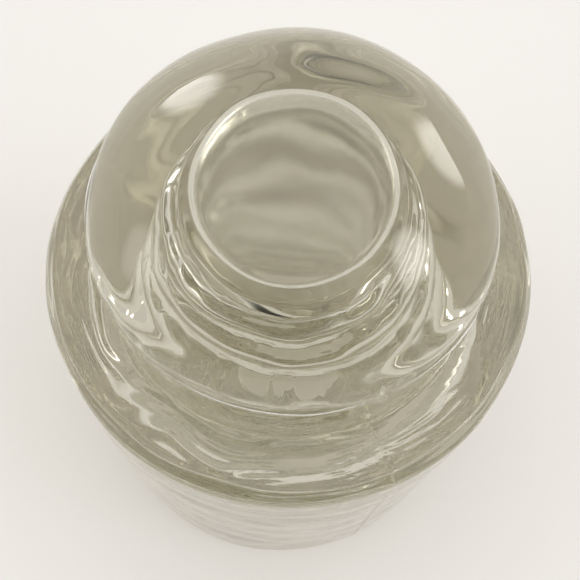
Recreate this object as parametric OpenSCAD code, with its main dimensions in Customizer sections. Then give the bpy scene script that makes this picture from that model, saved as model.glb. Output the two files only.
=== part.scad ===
// Pin insulator of clear pressed glass: a domed crown, a side wire groove,
// a sloping shoulder, a long outer skirt, a short inner skirt and a threaded
// pinhole. It is one moulded piece. Z is its axis and it stands on its rim.

/* [Overall] */
// Height from the base rim to the top of the dome
total_h = 101.6; // [92:0.1:125]

/* [Crown] */
// Diameter of the crown above the wire groove
crown_d = 57; // [48:0.5:66]
// Radius of the shallow cap on top of the dome
dome_cap_r = 33.5; // [33.5:0.5:60]
// Radius of the rounding between the cap and the crown's side
dome_corner_r = 11; // [5:0.5:14]
// Height of the top of the dome above the middle of the wire groove
groove_drop = 25.95; // [23:0.05:30]

/* [Wire groove] */
// Depth of the side groove below the crown's surface
groove_depth = 4.3; // [3:0.1:4.3]
// Height of the groove between its upper and lower edges
groove_w = 8.7; // [8.7:0.1:13]
// Rounding in the bottom of the groove
groove_round = 3; // [2:0.1:3]
// Rounding of the groove's upper lip
lip_round = 2.4; // [1:0.1:3]
// Diameter of the ridge below the groove
ridge_d = 55.4; // [50:0.2:60]
// Height of the ridge's outer face
ridge_h = 2.4; // [2.4:0.2:5]
// Rounding of the ridge's edges
ridge_round = 0.8; // [0.4:0.1:1]

/* [Shoulder and outer skirt] */
// Diameter of the shoulder, taken where its slope meets the skirt
shoulder_d = 75; // [68:0.5:92]
// Fall of the shoulder from the ridge to its edge
shoulder_fall = 1.2; // [0.6:0.2:8]
// Rounding of the shoulder's edge
shoulder_round = 3; // [1.5:0.5:8]
// How much narrower the skirt's base is than the shoulder
skirt_taper = 3; // [0:0.5:4]
// Thickness of the outer skirt at its upper end
skirt_wall = 6.4; // [5:0.2:8]
// Width of the base rim, rounded edges included
rim_w = 5.6; // [5:0.2:8]
// Rounding of the rim's outer edge
rim_round = 3; // [1.5:0.1:3.4]
// Rounding of the rim's inner edge
rim_inner_round = 1.6; // [0.6:0.1:2]
// Glass left between the top of the skirt gap and the shoulder's edge
shoulder_glass = 22; // [16:0.5:30]

/* [Inner skirt] */
// Height of the inner skirt's rim above the base
inner_rim_z = 8; // [4:0.5:12]
// Thickness of the inner skirt where it meets the body
inner_wall_top = 8; // [7:0.2:10]
// Thickness of the inner skirt just above its rim
inner_wall_rim = 6.6; // [6:0.2:7.8]
// Rounding of the inner skirt's rim
inner_round = 2.2; // [1:0.1:2.6]

/* [Pinhole] */
// Diameter at the crests of the pinhole's thread
pinhole_d = 25.4; // [22:0.1:31]
// Distance from one thread groove to the next
thread_pitch = 6.35; // [5:0.05:8]
// Depth of the thread groove
thread_depth = 1.4; // [1:0.1:2]
// Width of the thread groove at the crests
thread_w = 2.8; // [2.4:0.1:3]
// Clearance of the plain guide bore beyond the thread's crests
guide_clearance = 2.4; // [2.2:0.1:3]
// Length of the plain guide bore below the thread
guide_len = 16; // [8:0.5:20]
// Height of the flared mouth below the guide bore
mouth_h = 3; // [2:0.5:4]
// How far the mouth flares beyond the guide bore
mouth_flare = 1.6; // [1:0.1:2]
// Plain bore left below the first thread and above the last one
thread_margin = 2; // [1:0.5:4]
// Thickness of the glass above the pinhole
crown_glass = 12.6; // [11:0.1:20]
// Length of the pinhole's narrowing tip, above the threaded bore
tip_len = 3; // [2:0.5:10]
// How much smaller in radius the tip is at its top than the threaded bore
tip_narrowing = 0.6; // [0.4:0.1:2]
// Rounding between the pinhole's tip and its ceiling
ceiling_round = 2; // [1:0.5:4]
// Rise of the ceiling from its edge to the axis
ceiling_rise = 0.8; // [0.2:0.1:2]

/* [Hidden] */
$fn = 128;

// Straight steps in a quarter turn of an outline's rounding
QUARTER_STEPS = 16;
// Rings of the thread groove in one turn, and points across its round bottom
RINGS_PER_TURN = 24;
GROOVE_STEPS = 8;
// How far the thread groove's solid reaches into the open bore
THREAD_INSET = 1.2;
// How far the groove sinks at its ends, in thread depths; just over 1 brings it
// back inside the bore between two rings and never on one
RUN_OUT = 1.25;
// Shortest edge left between two roundings
EDGE = 0.02;

crown_r = crown_d / 2;
neck_r = crown_r - groove_depth;
ridge_r = ridge_d / 2;
shoulder_r = shoulder_d / 2;
base_r = shoulder_r - skirt_taper / 2;
pinhole_r = pinhole_d / 2;
guide_r = pinhole_r + guide_clearance;

groove_z = total_h - groove_drop;
lip_z = groove_z + groove_w / 2;
ridge_top_z = groove_z - groove_w / 2;
ridge_low_z = ridge_top_z - ridge_h;
shoulder_z = ridge_low_z - shoulder_fall;
gap_top_z = shoulder_z - shoulder_glass;

guide_low_z = inner_rim_z + mouth_h;
guide_top_z = guide_low_z + guide_len;
bore_low_z = guide_top_z + guide_clearance;
ceiling_z = total_h - crown_glass;
tip_r = pinhole_r - tip_narrowing;
tip_top_z = ceiling_z - ceiling_rise - ceiling_round;
bore_top_z = tip_top_z - tip_len;
thread_low_z = bore_low_z + thread_margin;
thread_top_z = bore_top_z - thread_margin;

// Points along an arc about c, from angle a to angle b
function arc(c, r, a, b) =
    let (steps = max(2, ceil(abs(b - a) / 90 * QUARTER_STEPS)))
    [for (i = [0 : steps]) let (t = a + (b - a) * i / steps) c + r * [cos(t), sin(t)]];

// The arc that rounds the corner q between the points p and s
function rounding(p, q, s, r) =
    let (u = (p - q) / norm(p - q),
         v = (s - q) / norm(s - q),
         half = acos(u * v) / 2,
         room = min(norm(p - q), norm(s - q)) - EDGE,
         reach = min(r / tan(half), room),
         radius = reach * tan(half),
         centre = q + (u + v) / norm(u + v) * radius / sin(half),
         a = q + u * reach - centre,
         turn = atan2(a.x * (q + v * reach - centre).y - a.y * (q + v * reach - centre).x,
                      a * (q + v * reach - centre)),
         start = atan2(a.y, a.x))
    arc(centre, radius, start, start + turn);

// An outline through corners [radius, height, rounding]
function rounded(corners) =
    [for (i = [0 : len(corners) - 1])
        let (c = corners[i], q = [c.x, c.y])
        each c.z == 0 ? [q] : rounding([corners[i - 1].x, corners[i - 1].y], q,
                                       [corners[i + 1].x, corners[i + 1].y], c.z)];

// The dome: a shallow cap that runs smoothly into the rounding of the crown's side
function dome() =
    let (cap_z = total_h - dome_cap_r,
         corner_x = crown_r - dome_corner_r,
         corner_rise = sqrt(pow(dome_cap_r - dome_corner_r, 2) - pow(corner_x, 2)),
         join = atan2(corner_rise, corner_x))
    concat(arc([0, cap_z], dome_cap_r, 90, join),
           arc([corner_x, cap_z + corner_rise], dome_corner_r, join, 0));

// The outside, from the crown's side down to the base rim
function outside() = [
    [crown_r, lip_z, lip_round],
    [neck_r, lip_z - groove_depth * 0.6, groove_round],
    [neck_r, ridge_top_z + groove_depth * 0.6, groove_round],
    [ridge_r, ridge_top_z, ridge_round],
    [ridge_r, ridge_low_z, ridge_round],
    [shoulder_r, shoulder_z, shoulder_round],
    [base_r, 0, rim_round],
];

// The underside, from the base rim up into the skirt gap and down the inner skirt
function underside() = [
    [base_r - rim_w, 0, rim_inner_round],
    [shoulder_r - skirt_wall, gap_top_z, gap_round()],
    [guide_r + inner_wall_top, gap_top_z, gap_round()],
    [guide_r + inner_wall_rim, inner_rim_z, inner_round],
    [guide_r + mouth_flare, inner_rim_z, inner_round / 2],
];

// The top of the skirt gap is a full round
function gap_round() = (shoulder_r - skirt_wall - guide_r - inner_wall_top) / 2 - EDGE;

// The pinhole, from the guide bore up to the ceiling
function pinhole() = concat(
    [[guide_r, guide_low_z], [guide_r, guide_top_z],
     [pinhole_r, bore_low_z], [pinhole_r, bore_top_z]],
    arc([tip_r - ceiling_round, tip_top_z], ceiling_round, 0, 90),
    [[0, ceiling_z]]);

module glass_outline() {
    ends = concat([[crown_r, total_h, 0]], outside(), underside(), [[guide_r, guide_low_z, 0]]);
    rounded_part = rounded(ends);
    polygon(concat(dome(),
                   [for (i = [1 : len(rounded_part) - 2]) rounded_part[i]],
                   pinhole()));
}

// The solid that cuts the right-handed thread. Its section is half an ellipse that
// starts inside the open bore, so that it is thread_w wide at the crests. It swells
// out of the bore's wall over the first half turn and sinks back over the last.
module thread_groove() {
    rings = floor((thread_top_z - thread_low_z - thread_w) / thread_pitch * RINGS_PER_TURN);
    reach = THREAD_INSET + thread_depth;
    half_w = thread_w / 2 / sqrt(1 - pow(THREAD_INSET / reach, 2));
    side = GROOVE_STEPS + 1;
    points = [for (i = [0 : rings])
        let (turn = i / RINGS_PER_TURN,
             from_end = min(i, rings - i) / RINGS_PER_TURN,
             sunk = thread_depth * RUN_OUT * max(0, 1 - 2 * from_end),
             z = thread_low_z + thread_w / 2 + turn * thread_pitch)
        for (k = [0 : GROOVE_STEPS])
            let (t = 180 * k / GROOVE_STEPS - 90,
                 r = pinhole_r - THREAD_INSET + reach * cos(t) - sunk)
            [r * cos(360 * turn), r * sin(360 * turn), z + half_w * sin(t)]];
    walls = [for (i = [0 : rings - 1]) for (k = [0 : side - 1])
        let (a = i * side + k, b = i * side + (k + 1) % side)
        each [[a, b, b + side], [a, b + side, a + side]]];
    caps = [[for (k = [side - 1 : -1 : 0]) k],
            [for (k = [0 : side - 1]) rings * side + k]];
    polyhedron(points, concat(walls, caps), convexity = 10);
}

module glass_body() {
    color([0.76, 0.75, 0.67])
    difference() {
        rotate_extrude() glass_outline();
        thread_groove();
    }
}

glass_body();
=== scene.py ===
import math

import bpy
import numpy as np
from mathutils import Matrix, Vector


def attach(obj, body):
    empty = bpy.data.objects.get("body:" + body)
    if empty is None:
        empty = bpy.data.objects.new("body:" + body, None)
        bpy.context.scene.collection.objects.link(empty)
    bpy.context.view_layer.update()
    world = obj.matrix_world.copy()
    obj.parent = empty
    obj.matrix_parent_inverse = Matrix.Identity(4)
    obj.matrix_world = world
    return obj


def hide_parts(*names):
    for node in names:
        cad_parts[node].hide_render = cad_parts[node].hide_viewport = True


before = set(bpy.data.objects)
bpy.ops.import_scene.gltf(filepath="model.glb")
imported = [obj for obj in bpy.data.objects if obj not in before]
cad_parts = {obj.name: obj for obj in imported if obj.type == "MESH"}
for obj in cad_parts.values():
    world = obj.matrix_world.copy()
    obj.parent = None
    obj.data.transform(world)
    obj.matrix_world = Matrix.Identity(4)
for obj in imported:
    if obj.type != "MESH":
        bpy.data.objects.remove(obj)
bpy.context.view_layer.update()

# Sizes in millimetres, the same as the CAD part's
MM = 0.001
TOTAL_H = 101.6
CROWN_R = 28.5
DOME_CAP_R = 33.5
DOME_CORNER_R = 11.0
GROOVE_Z = 75.65
GROOVE_W = 8.7
NECK_R = 24.2
GROOVE_ROUND = 3.0
LIP_ROUND = 2.4
RIDGE_R = 27.7
RIDGE_H = 2.4
RIDGE_ROUND = 0.8
SHOULDER_R = 37.5
SHOULDER_Z = 67.7
SHOULDER_ROUND = 3.0
BASE_R = 36.0
RIM_W = 5.6
RIM_ROUND = 3.0
RIM_INNER_ROUND = 1.6
SKIRT_WALL = 6.4
GAP_TOP_Z = 45.75
INNER_RIM_Z = 8.0
INNER_WALL_TOP = 8.0
INNER_WALL_RIM = 6.6
INNER_ROUND = 2.2
GUIDE_R = 15.1
GUIDE_LOW_Z = 11.0
GUIDE_TOP_Z = 27.0
MOUTH_FLARE = 1.6
PIN_R = 12.7
BORE_LOW_Z = 29.4
BORE_TOP_Z = 83.2
TIP_R = 12.1
TIP_TOP_Z = 86.2
CEILING_Z = 89.0
CEILING_ROUND = 2.0
THREAD_PITCH = 6.35
THREAD_DEPTH = 1.4
THREAD_W = 2.8
THREAD_LOW_Z = 31.4
THREAD_TOP_Z = 81.2

# The surface relief, in millimetres: the mould's two seams, the folds in the
# shoulder's skin, the bead near the shoulder's edge, and the thread's worn crests
SEAM_ANGLES = (-62.0, 118.0)
SEAM_HEIGHT = 0.22
SEAM_HALF_WIDTH = 0.35
FOLD_START_R = 28.5
FOLD_SPACING = 1.9
FOLD_HEIGHT = 0.32
FOLD_SINK = 0.22
BEAD_R = 35.7
BEAD_HEIGHT = 0.28
BEAD_HALF_WIDTH = 0.55
THREAD_CREST_WEAR = 0.35
THREAD_FADE = 4.0

# The mesh: spacing and smoothing of the fine outline, and columns round the axis
FINE_STEP = 0.1
SMOOTHING_ROUNDS = 12
COLUMNS = 206
SEAM_COLUMNS = (-1.2, -0.75, -0.35, 0, 0.35, 0.75, 1.2)

# The glass: its tint between two colours, the patchy painted shade low down, what its body
# absorbs, and the colour of the light it lets through to the floor
GLASS_IOR = 1.52
TINTS = ((0.74, 0.755, 0.675, 1), (0.77, 0.735, 0.675, 1))
# Painted shade: the dark colour that the glass is mixed towards low down
LOW_SHADE_COLOUR = (0.34, 0.325, 0.29, 1)
BODY_COLOUR = (0.70, 0.66, 0.52, 1)
BODY_DENSITY = 9.0
SHADOW_COLOUR = (0.88, 0.87, 0.85, 1)

# The studio: light colour, its even level, and the level that the camera sees
LIGHT_COLOUR = (1.0, 0.975, 0.94, 1)
EVEN_LIGHT = 0.80
LEAST_LIGHT = 0.05
BACKDROP = 0.92
# Panels: azimuth, elevation, full radius and outer radius in degrees, light added
PANELS = (
    (125, 4, 0, 13, 5.5),
    (41, 3, 0, 14, 4.5),
    (-8, 30, 0, 15, 6.0),
    (-172, 12, 0, 16, 2.0),
    (0, 90, 20, 60, 0.35),
    (-90, 26, 16, 46, -0.80),
)
FLOOR_COLOUR = (0.92, 0.91, 0.895, 1)
FLOOR_HALF_SIZE = 4.0

# The camera: angles in degrees, position and lens in millimetres
CAMERA_PITCH = 68.29
CAMERA_ROLL = 4.56
CAMERA_PLACE = (0.37, -59.1, 202.49)
CAMERA_LENS = 59.77


# ---------------------------------------------------------------- outline

def arc(centre, radius, start, end, steps=12):
    """Points along an arc, angles in degrees."""
    t = np.radians(np.linspace(start, end, steps + 1))
    return np.c_[centre[0] + radius * np.cos(t), centre[1] + radius * np.sin(t)]


def rounding(before, corner, after, radius):
    """The arc that rounds a corner."""
    before, corner, after = (np.array(p[:2], float) for p in (before, corner, after))
    len_u, len_v = np.linalg.norm(before - corner), np.linalg.norm(after - corner)
    u, v = (before - corner) / len_u, (after - corner) / len_v
    half = math.acos(float(np.clip(u @ v, -1, 1))) / 2
    reach = min(radius / math.tan(half), min(len_u, len_v) - 0.02)
    radius = reach * math.tan(half)
    centre = corner + (u + v) / np.linalg.norm(u + v) * radius / math.sin(half)
    a, b = corner + u * reach - centre, corner + v * reach - centre
    start = math.degrees(math.atan2(a[1], a[0]))
    turn = math.degrees(math.atan2(a[0] * b[1] - a[1] * b[0], a @ b))
    return arc(centre, radius, start, start + turn)


def rounded(corners):
    """A line through corners (radius, height, rounding)."""
    parts = [np.array([corners[0][:2]])]
    for before, corner, after in zip(corners, corners[1:], corners[2:]):
        parts.append(rounding(before, corner, after, corner[2]))
    parts.append(np.array([corners[-1][:2]]))
    return np.vstack(parts)


def dome():
    """The crown's cap and the rounding that joins it to the crown's side."""
    cap_z = TOTAL_H - DOME_CAP_R
    corner_x = CROWN_R - DOME_CORNER_R
    rise = math.sqrt((DOME_CAP_R - DOME_CORNER_R) ** 2 - corner_x ** 2)
    join = math.degrees(math.atan2(rise, corner_x))
    cap = arc((0, cap_z), DOME_CAP_R, 90, join, 50)
    corner = arc((corner_x, cap_z + rise), DOME_CORNER_R, join, 0, 24)
    return np.vstack([cap, corner[1:]])


def crown_side():
    """From the crown's side over the wire groove and the ridge to the shoulder's edge."""
    low, high = GROOVE_Z - GROOVE_W / 2, GROOVE_Z + GROOVE_W / 2
    dip = 0.6 * (CROWN_R - NECK_R)
    return rounded([
        (CROWN_R, high + 6, 0), (CROWN_R, high, LIP_ROUND),
        (NECK_R, high - dip, GROOVE_ROUND), (NECK_R, low + dip, GROOVE_ROUND),
        (RIDGE_R, low, RIDGE_ROUND), (RIDGE_R, low - RIDGE_H, RIDGE_ROUND),
        (SHOULDER_R, SHOULDER_Z, SHOULDER_ROUND), (BASE_R, 0, 0)])


def underside():
    """From the shoulder's edge round the rim and up through the gap to the guide bore."""
    gap_round = (SHOULDER_R - SKIRT_WALL - GUIDE_R - INNER_WALL_TOP) / 2 - 0.02
    return rounded([
        (SHOULDER_R, SHOULDER_Z, 0), (BASE_R, 0, RIM_ROUND),
        (BASE_R - RIM_W, 0, RIM_INNER_ROUND),
        (SHOULDER_R - SKIRT_WALL, GAP_TOP_Z, gap_round),
        (GUIDE_R + INNER_WALL_TOP, GAP_TOP_Z, gap_round),
        (GUIDE_R + INNER_WALL_RIM, INNER_RIM_Z, INNER_ROUND),
        (GUIDE_R + MOUTH_FLARE, INNER_RIM_Z, INNER_ROUND / 2),
        (GUIDE_R, GUIDE_LOW_Z, 1.5), (GUIDE_R, GUIDE_TOP_Z, 1.5),
        (PIN_R, BORE_LOW_Z, 1.5), (PIN_R, BORE_TOP_Z, 0)])


def ceiling():
    """The pinhole's narrow tip and its ceiling, up to the axis."""
    knee = arc((TIP_R - CEILING_ROUND, TIP_TOP_Z), CEILING_ROUND, 0, 90)
    t = np.linspace(0, math.pi / 2, 12)[1:]
    edge_r, edge_z = knee[-1]
    vault = np.c_[edge_r * np.cos(t), edge_z + (CEILING_Z - edge_z) * np.sin(t)]
    return np.vstack([[[PIN_R, BORE_TOP_Z]], knee, vault])


def lengths_along(line):
    """The length along a line at each of its points."""
    return np.r_[0, np.cumsum(np.linalg.norm(np.diff(line, axis=0), axis=1))]


def points_at(line, lengths):
    """The points of a line at the lengths given."""
    along = lengths_along(line)
    return np.c_[np.interp(lengths, along, line[:, 0]),
                 np.interp(lengths, along, line[:, 1])]


def evenly(line):
    """A line's course in fine, equal steps, both ends included."""
    total = lengths_along(line)[-1]
    return points_at(line, np.linspace(0, total, int(round(total / FINE_STEP)) + 1))


def outline():
    """The whole meridian, from the dome's top to the ceiling's middle, in fine steps
    and slightly smoothed. The side and the underside meet on the skirt."""
    side, under = evenly(crown_side()), evenly(underside())
    skirt_top = SHOULDER_Z - 6
    crown_end = GROOVE_Z + GROOVE_W / 2 + 4
    side = side[(side[:, 1] > skirt_top) & (side[:, 1] < crown_end)]
    under = under[(under[:, 0] <= SHOULDER_R - 0.5) | (under[:, 1] <= skirt_top)]
    line = np.vstack([dome(), side, under, ceiling()])
    line = line[np.r_[True, np.linalg.norm(np.diff(line, axis=0), axis=1) > 1e-4]]
    line = points_at(line, np.arange(0, lengths_along(line)[-1], FINE_STEP))
    for _ in range(SMOOTHING_ROUNDS):
        line[1:-1] = 0.25 * line[:-2] + 0.5 * line[1:-1] + 0.25 * line[2:]
    return line


def row_step(r, z, outside):
    """The distance between rows: finest where there are folds, a thread or a tight turn."""
    in_bore = r < PIN_R + 0.05
    if in_bore and BORE_LOW_Z < z < BORE_TOP_Z + 1:
        return 0.42
    if in_bore and BORE_TOP_Z + 1 <= z < CEILING_Z + 0.5:
        return 0.5
    if outside and 66 < z < 82:
        return 0.28
    if outside and 60 < z < 86:
        return 0.5
    if z < 5 or (r < 26 and z < 13):
        return 0.7
    if outside and z > 86:
        return 0.85
    return 1.3


def rows():
    """The meridian's points that the mesh uses, their lengths along it, their outward
    normals, and the number of the last row on the outside."""
    line = outline()
    along = lengths_along(line)
    rim = int(np.argmin(line[:, 1]))
    picks, at = [0], 0.0
    for i in range(1, len(line)):
        if along[i] - at >= row_step(*line[i], i < rim):
            picks.append(i)
            at = along[i]
    if picks[-1] != len(line) - 1:
        picks[-1] = len(line) - 1
    tangent = np.gradient(line, axis=0)
    tangent /= np.linalg.norm(tangent, axis=1)[:, None]
    normal = np.c_[-tangent[:, 1], tangent[:, 0]]
    normal[0], normal[-1] = (0, 1), (0, -1)
    last_outside = sum(pick <= rim for pick in picks) - 1
    return line[picks], along[picks], normal[picks], last_outside


def columns():
    """Angles of the mesh's columns, with extra ones close to each seam."""
    even = np.arange(COLUMNS) * 2 * math.pi / COLUMNS
    extra = [math.radians(seam + off) for seam in SEAM_ANGLES for off in SEAM_COLUMNS]
    nearest = np.array([min(abs(math.remainder(a - b, 2 * math.pi)) for b in extra)
                        for a in even])
    return np.sort(np.r_[even[nearest > 0.006], np.array(extra) % (2 * math.pi)])


# ---------------------------------------------------------------- relief

def waves(points, length, seed, count=14):
    """Smooth random relief of about unit height, from plane waves of one rough length."""
    rng = np.random.default_rng(seed)
    course = rng.normal(size=(count, 3))
    course /= np.linalg.norm(course, axis=1)[:, None]
    pace = 2 * math.pi / (length * rng.uniform(0.75, 1.4, count))
    shift = rng.uniform(0, 2 * math.pi, count)
    total = np.zeros(points.shape[:-1])
    for c, p, s in zip(course, pace, shift):
        total += np.sin((points @ c) * p + s)
    return total / math.sqrt(count / 2)


def window(value, low, high, soft):
    """1 between low and high, falling smoothly to 0 over soft on both sides."""
    def rise(x):
        x = np.clip(x, 0, 1)
        return x * x * (3 - 2 * x)
    return rise((value - low + soft) / soft) * rise((high + soft - value) / soft)


def thread(z, angle, points):
    """Depth of the right-handed thread groove. It wanders, its bottom is broad, and it
    fades in and out at its ends."""
    wander = 0.3 * waves(points, 9, 5) + 0.14 * waves(points, 3.2, 6)
    turn = ((z + wander - THREAD_LOW_Z) / THREAD_PITCH - angle / (2 * math.pi)) % 1.0
    off = np.abs(turn - 0.5) * THREAD_PITCH
    half = THREAD_W / 2 + THREAD_CREST_WEAR
    depth = THREAD_DEPTH * np.cos(np.clip(off / half, 0, 1) * math.pi / 2) ** 0.45
    ends = (np.clip((z - THREAD_LOW_Z) / THREAD_FADE, 0, 1)
            * np.clip((THREAD_TOP_Z - z) / THREAD_FADE, 0, 1))
    return depth * ends


def chill_wrinkles(along, start, angle, points):
    """Low folds in the shoulder's skin, which draw together towards the seams."""
    from_seam = np.abs(np.sin(angle - math.radians(SEAM_ANGLES[0])))
    spread = 0.45 + 0.55 * from_seam
    run = ((along - start) / spread + 0.9 * waves(points, 16, 11)
           + 0.25 * waves(points, 6, 12))
    fold = np.abs(np.sin(math.pi * run / FOLD_SPACING))
    strength = 0.55 + 0.45 * np.clip(waves(points, 9, 13), -1, 1)
    return (FOLD_HEIGHT * fold ** 0.4 - FOLD_SINK) * strength


def seams(angle, r):
    """The low fins that the mould's two halves leave."""
    total = np.zeros_like(angle)
    for seam in SEAM_ANGLES:
        off = np.abs(np.angle(np.exp(1j * (angle - math.radians(seam))))) * r
        total += np.exp(-(off / SEAM_HALF_WIDTH) ** 2)
    return SEAM_HEIGHT * total


def relief(line, along, last_outside, angles):
    """How far each point of the grid stands proud of the plain outline, in millimetres."""
    r, z = line[:, 0][:, None], line[:, 1][:, None]
    angle = np.broadcast_to(angles[None, :], (len(line), len(angles)))
    points = np.stack([r * np.cos(angle), r * np.sin(angle), z + 0 * angle], axis=-1)
    length = along[:, None] + 0 * angle
    outside = (np.arange(len(line)) <= last_outside)[:, None] + 0.0 * angle

    out_r, out_z = line[:last_outside].T
    edge = along[np.argmin(np.hypot(out_r - BEAD_R, out_z - SHOULDER_Z))]
    start = along[np.argmin(np.hypot(out_r - FOLD_START_R, out_z - SHOULDER_Z))]
    lip = along[np.argmin(np.abs(out_z - GROOVE_Z - GROOVE_W / 2))]

    height = 0.10 * waves(points, 26, 1) + 0.03 * waves(points, 9, 2)
    folded = window(length, lip, edge - 1.2, 1.5) * outside
    height += folded * chill_wrinkles(length, start, angle, points)
    bead = np.exp(-((length - edge - 0.15 * waves(points, 14, 21)) / BEAD_HALF_WIDTH) ** 2)
    height += BEAD_HEIGHT * bead * outside
    side = window(z, 4, 84, 2) * outside
    height += side * seams(angle, r)
    bore = window(z, BORE_LOW_Z, BORE_TOP_Z, 0.5) * (r < PIN_R + 0.4)
    height -= bore * thread(z, angle, points)
    near_axis = np.clip(r / 6, 0, 1)
    return height * near_axis


def glass_body():
    """The one moulded piece, as a closed mesh of the outline turned round its axis."""
    line, along, normal, last_outside = rows()
    angles = columns()
    height = relief(line, along, last_outside, angles)
    r = line[:, :1] + normal[:, :1] * height
    z = line[:, 1:] + normal[:, 1:] * height
    r = np.minimum(r, SHOULDER_R)
    z = np.clip(z, 0, TOTAL_H)
    inner = slice(1, len(line) - 1)
    grid = np.stack([r * np.cos(angles), r * np.sin(angles), z], axis=-1)[inner]
    count, wide = grid.shape[:2]
    verts = np.vstack([[[0, 0, TOTAL_H]], grid.reshape(-1, 3), [[0, 0, CEILING_Z]]]) * MM
    last = count * wide + 1
    faces = []
    for j in range(wide):
        k = (j + 1) % wide
        faces.append((0, 1 + j, 1 + k))
        faces.append((last, last - wide + k, last - wide + j))
        for i in range(count - 1):
            a, b = 1 + i * wide, 1 + (i + 1) * wide
            faces.append((a + j, b + j, b + k, a + k))
    mesh = bpy.data.meshes.new("glass_shell")
    mesh.from_pydata(verts.tolist(), [], faces)
    mesh.validate()
    mesh.polygons.foreach_set("use_smooth", [True] * len(mesh.polygons))
    mesh.update()
    piece = bpy.data.objects.new("glass_shell", mesh)
    bpy.context.scene.collection.objects.link(piece)
    return piece


# ---------------------------------------------------------------- materials

def new_material(name):
    mat = bpy.data.materials.new(name)
    mat.use_nodes = True
    return mat, mat.node_tree.nodes, mat.node_tree.links


def maths(nodes, links, kind, *values):
    """A Math node; the values are sockets or numbers."""
    node = nodes.new("ShaderNodeMath")
    node.operation = kind
    for socket, value in zip(node.inputs, values):
        if isinstance(value, (int, float)):
            socket.default_value = value
        else:
            links.new(value, socket)
    return node.outputs[0]


def noise(nodes, links, place, scale, detail, roughness=0.5):
    """A Noise Texture's value."""
    node = nodes.new("ShaderNodeTexNoise")
    node.inputs["Scale"].default_value = scale
    node.inputs["Detail"].default_value = detail
    node.inputs["Roughness"].default_value = roughness
    links.new(place, node.inputs["Vector"])
    return node.outputs["Fac"]


def slope(nodes, links, value, start, end, top=1.0, kind="LINEAR"):
    """A Map Range node that goes from 0 at start to top at end, and is flat beyond."""
    node = nodes.new("ShaderNodeMapRange")
    node.interpolation_type = kind
    node.inputs["From Min"].default_value = start
    node.inputs["From Max"].default_value = end
    node.inputs["To Max"].default_value = top
    links.new(value, node.inputs["Value"])
    return node.outputs["Result"]


def mixed_colour(nodes, links, factor, a, b):
    """A Mix node from colour a to colour b; a may be a socket."""
    node = nodes.new("ShaderNodeMix")
    node.data_type = "RGBA"
    links.new(factor, node.inputs["Factor"])
    if isinstance(a, tuple):
        node.inputs["A"].default_value = a
    else:
        links.new(a, node.inputs["A"])
    node.inputs["B"].default_value = b
    return node.outputs["Result"]


def pinhole_ceiling(nodes, links, radius, z):
    """1 on the pinhole's ceiling and 0 elsewhere, with a soft edge down the tip."""
    within = slope(nodes, links, radius, 0.0150, 0.0115)
    above = slope(nodes, links, z, 0.0840, 0.0875)
    below_dome = maths(nodes, links, "LESS_THAN", z, 0.0895)
    top = maths(nodes, links, "MULTIPLY", above, below_dome)
    return maths(nodes, links, "MULTIPLY", within, top)


def low_shade_and_dulling(nodes, links, place, radius, z):
    """Patchy painted shade that grows towards the base: how much it darkens the glass,
    which is mostly on the outer skirt, and how much it dulls the inner surfaces."""
    low = slope(nodes, links, z, 0.064, 0.020)
    patches = noise(nodes, links, place, 90.0, 4.0)
    cover = maths(nodes, links, "MULTIPLY_ADD", patches, 0.4, 0.08)
    low_amount = maths(nodes, links, "MULTIPLY", low, cover)
    inside = maths(nodes, links, "LESS_THAN", radius, 0.0325)
    share = maths(nodes, links, "MULTIPLY_ADD", inside, -0.9, 1.0)
    return (maths(nodes, links, "MULTIPLY", low_amount, share),
            maths(nodes, links, "MULTIPLY", low_amount, inside))


def clear_glass():
    """Old pressed glass: a warm grey tint, fine ripples, a hazy ceiling in the pinhole,
    and patchy painted shade low down, where the inner surfaces are also dulled."""
    mat, nodes, links = new_material("clear_glass")
    shader, out = nodes["Principled BSDF"], nodes["Material Output"]
    shader.inputs["IOR"].default_value = GLASS_IOR
    shader.inputs["Transmission Weight"].default_value = 1.0
    place = nodes.new("ShaderNodeTexCoord").outputs["Object"]
    axes = nodes.new("ShaderNodeSeparateXYZ")
    links.new(place, axes.inputs["Vector"])
    x, y, z = axes.outputs
    x_squared = maths(nodes, links, "MULTIPLY", x, x)
    r_squared = maths(nodes, links, "MULTIPLY_ADD", y, y, x_squared)
    radius = maths(nodes, links, "SQRT", r_squared)
    painted_low_shade, low_dulling = low_shade_and_dulling(nodes, links, place, radius, z)

    tint = mixed_colour(nodes, links, noise(nodes, links, place, 28.0, 2.0), *TINTS)
    # Painted shade: the tint is mixed towards a dark colour towards the base, most on the
    # outer skirt
    colour = mixed_colour(nodes, links, painted_low_shade, tint, LOW_SHADE_COLOUR)
    links.new(colour, shader.inputs["Base Color"])

    hazy = pinhole_ceiling(nodes, links, radius, z)
    haze = maths(nodes, links, "MULTIPLY_ADD", hazy, 0.17, 0.02)
    roughness = maths(nodes, links, "MULTIPLY_ADD", low_dulling, 0.15, haze)
    links.new(roughness, shader.inputs["Roughness"])

    bump = nodes.new("ShaderNodeBump")
    bump.inputs["Strength"].default_value = 1.0
    bump.inputs["Distance"].default_value = 0.000010
    links.new(noise(nodes, links, place, 190.0, 1.5, 0.45), bump.inputs["Height"])
    links.new(bump.outputs["Normal"], shader.inputs["Normal"])

    body = nodes.new("ShaderNodeVolumeAbsorption")
    body.inputs["Color"].default_value = BODY_COLOUR
    body.inputs["Density"].default_value = BODY_DENSITY
    links.new(body.outputs["Volume"], out.inputs["Volume"])

    # Light for the floor passes straight through, which stands in for slow caustics
    path = nodes.new("ShaderNodeLightPath")
    through = nodes.new("ShaderNodeBsdfTransparent")
    through.inputs["Color"].default_value = SHADOW_COLOUR
    blend = nodes.new("ShaderNodeMixShader")
    links.new(path.outputs["Is Shadow Ray"], blend.inputs["Fac"])
    links.new(shader.outputs["BSDF"], blend.inputs[1])
    links.new(through.outputs["BSDF"], blend.inputs[2])
    links.new(blend.outputs["Shader"], out.inputs["Surface"])
    return mat


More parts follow.
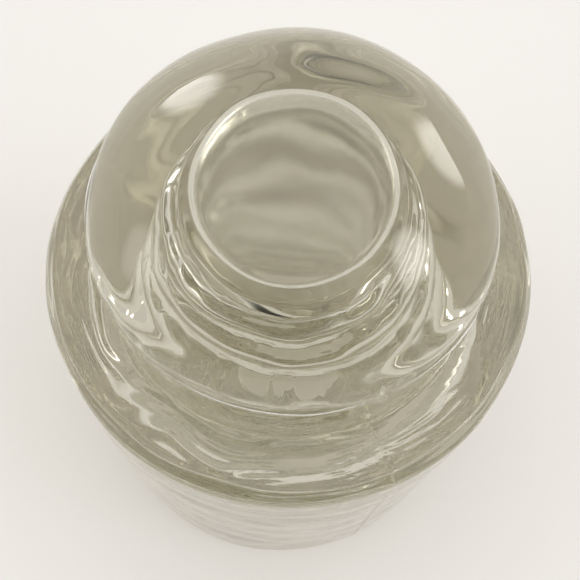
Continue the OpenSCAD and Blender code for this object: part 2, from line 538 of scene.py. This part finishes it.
def pale_floor():
    mat, nodes, _ = new_material("pale_floor")
    shader = nodes["Principled BSDF"]
    shader.inputs["Base Color"].default_value = FLOOR_COLOUR
    shader.inputs["Roughness"].default_value = 0.85
    shader.inputs["Specular IOR Level"].default_value = 0.2
    return mat


# ---------------------------------------------------------------- setting

def heading(azimuth, elevation):
    """The direction to a compass angle and a height above the horizon, in degrees."""
    a, e = math.radians(azimuth), math.radians(elevation)
    return Vector((math.cos(e) * math.cos(a), math.cos(e) * math.sin(a), math.sin(e)))


def studio():
    """Even pale light from all round, with soft brighter and darker panels. The camera
    itself sees a plain pale backdrop."""
    world = bpy.data.worlds.new("studio")
    world.use_nodes = True
    bpy.context.scene.world = world
    nodes, links = world.node_tree.nodes, world.node_tree.links
    back = nodes["Background"]
    toward = nodes.new("ShaderNodeTexCoord").outputs["Generated"]
    level = EVEN_LIGHT
    for azimuth, elevation, full, outer, gain in PANELS:
        dot = nodes.new("ShaderNodeVectorMath")
        dot.operation = "DOT_PRODUCT"
        dot.inputs[1].default_value = heading(azimuth, elevation)
        links.new(toward, dot.inputs[0])
        lobe = slope(nodes, links, dot.outputs["Value"], math.cos(math.radians(outer)),
                     math.cos(math.radians(full)), gain, "SMOOTHERSTEP")
        level = maths(nodes, links, "ADD", lobe, level)
    level = maths(nodes, links, "MAXIMUM", level, LEAST_LIGHT)
    path = nodes.new("ShaderNodeLightPath")
    seen = nodes.new("ShaderNodeMix")
    links.new(path.outputs["Is Camera Ray"], seen.inputs["Factor"])
    links.new(level, seen.inputs["A"])
    seen.inputs["B"].default_value = BACKDROP
    back.inputs["Color"].default_value = LIGHT_COLOUR
    links.new(seen.outputs["Result"], back.inputs["Strength"])


def floor():
    mesh = bpy.data.meshes.new("floor")
    h = FLOOR_HALF_SIZE
    mesh.from_pydata([(-h, -h, 0), (h, -h, 0), (h, h, 0), (-h, h, 0)], [], [(0, 1, 2, 3)])
    piece = bpy.data.objects.new("floor", mesh)
    bpy.context.scene.collection.objects.link(piece)
    mesh.materials.append(pale_floor())


def camera():
    """Stands close above the front and looks steeply down at the crown."""
    pitch, roll = math.radians(CAMERA_PITCH), math.radians(CAMERA_ROLL)
    ahead = Vector((0, math.cos(pitch), -math.sin(pitch)))
    right = Vector((1, 0, 0))
    up = right.cross(ahead)
    tilted_right = right * math.cos(roll) + up * math.sin(roll)
    tilted_up = up * math.cos(roll) - right * math.sin(roll)
    data = bpy.data.cameras.new("camera")
    data.sensor_width = 36.0
    data.lens = CAMERA_LENS
    data.clip_start = 0.005
    piece = bpy.data.objects.new("camera", data)
    place = Matrix((tilted_right, tilted_up, -ahead)).transposed().to_4x4()
    place.translation = Vector(CAMERA_PLACE) * MM
    piece.matrix_world = place
    bpy.context.scene.collection.objects.link(piece)
    bpy.context.scene.camera = piece


def light_paths():
    """Clear glass needs long light paths, or its inner reflections turn black."""
    scene = bpy.context.scene
    scene.view_settings.view_transform = "Standard"
    cycles = scene.cycles
    cycles.max_bounces = 40
    cycles.transmission_bounces = 32
    cycles.glossy_bounces = 32
    cycles.transparent_max_bounces = 32


glass = glass_body()
glass.data.materials.append(clear_glass())
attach(glass, "root")
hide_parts("glass_body")

floor()
studio()
camera()
light_paths()
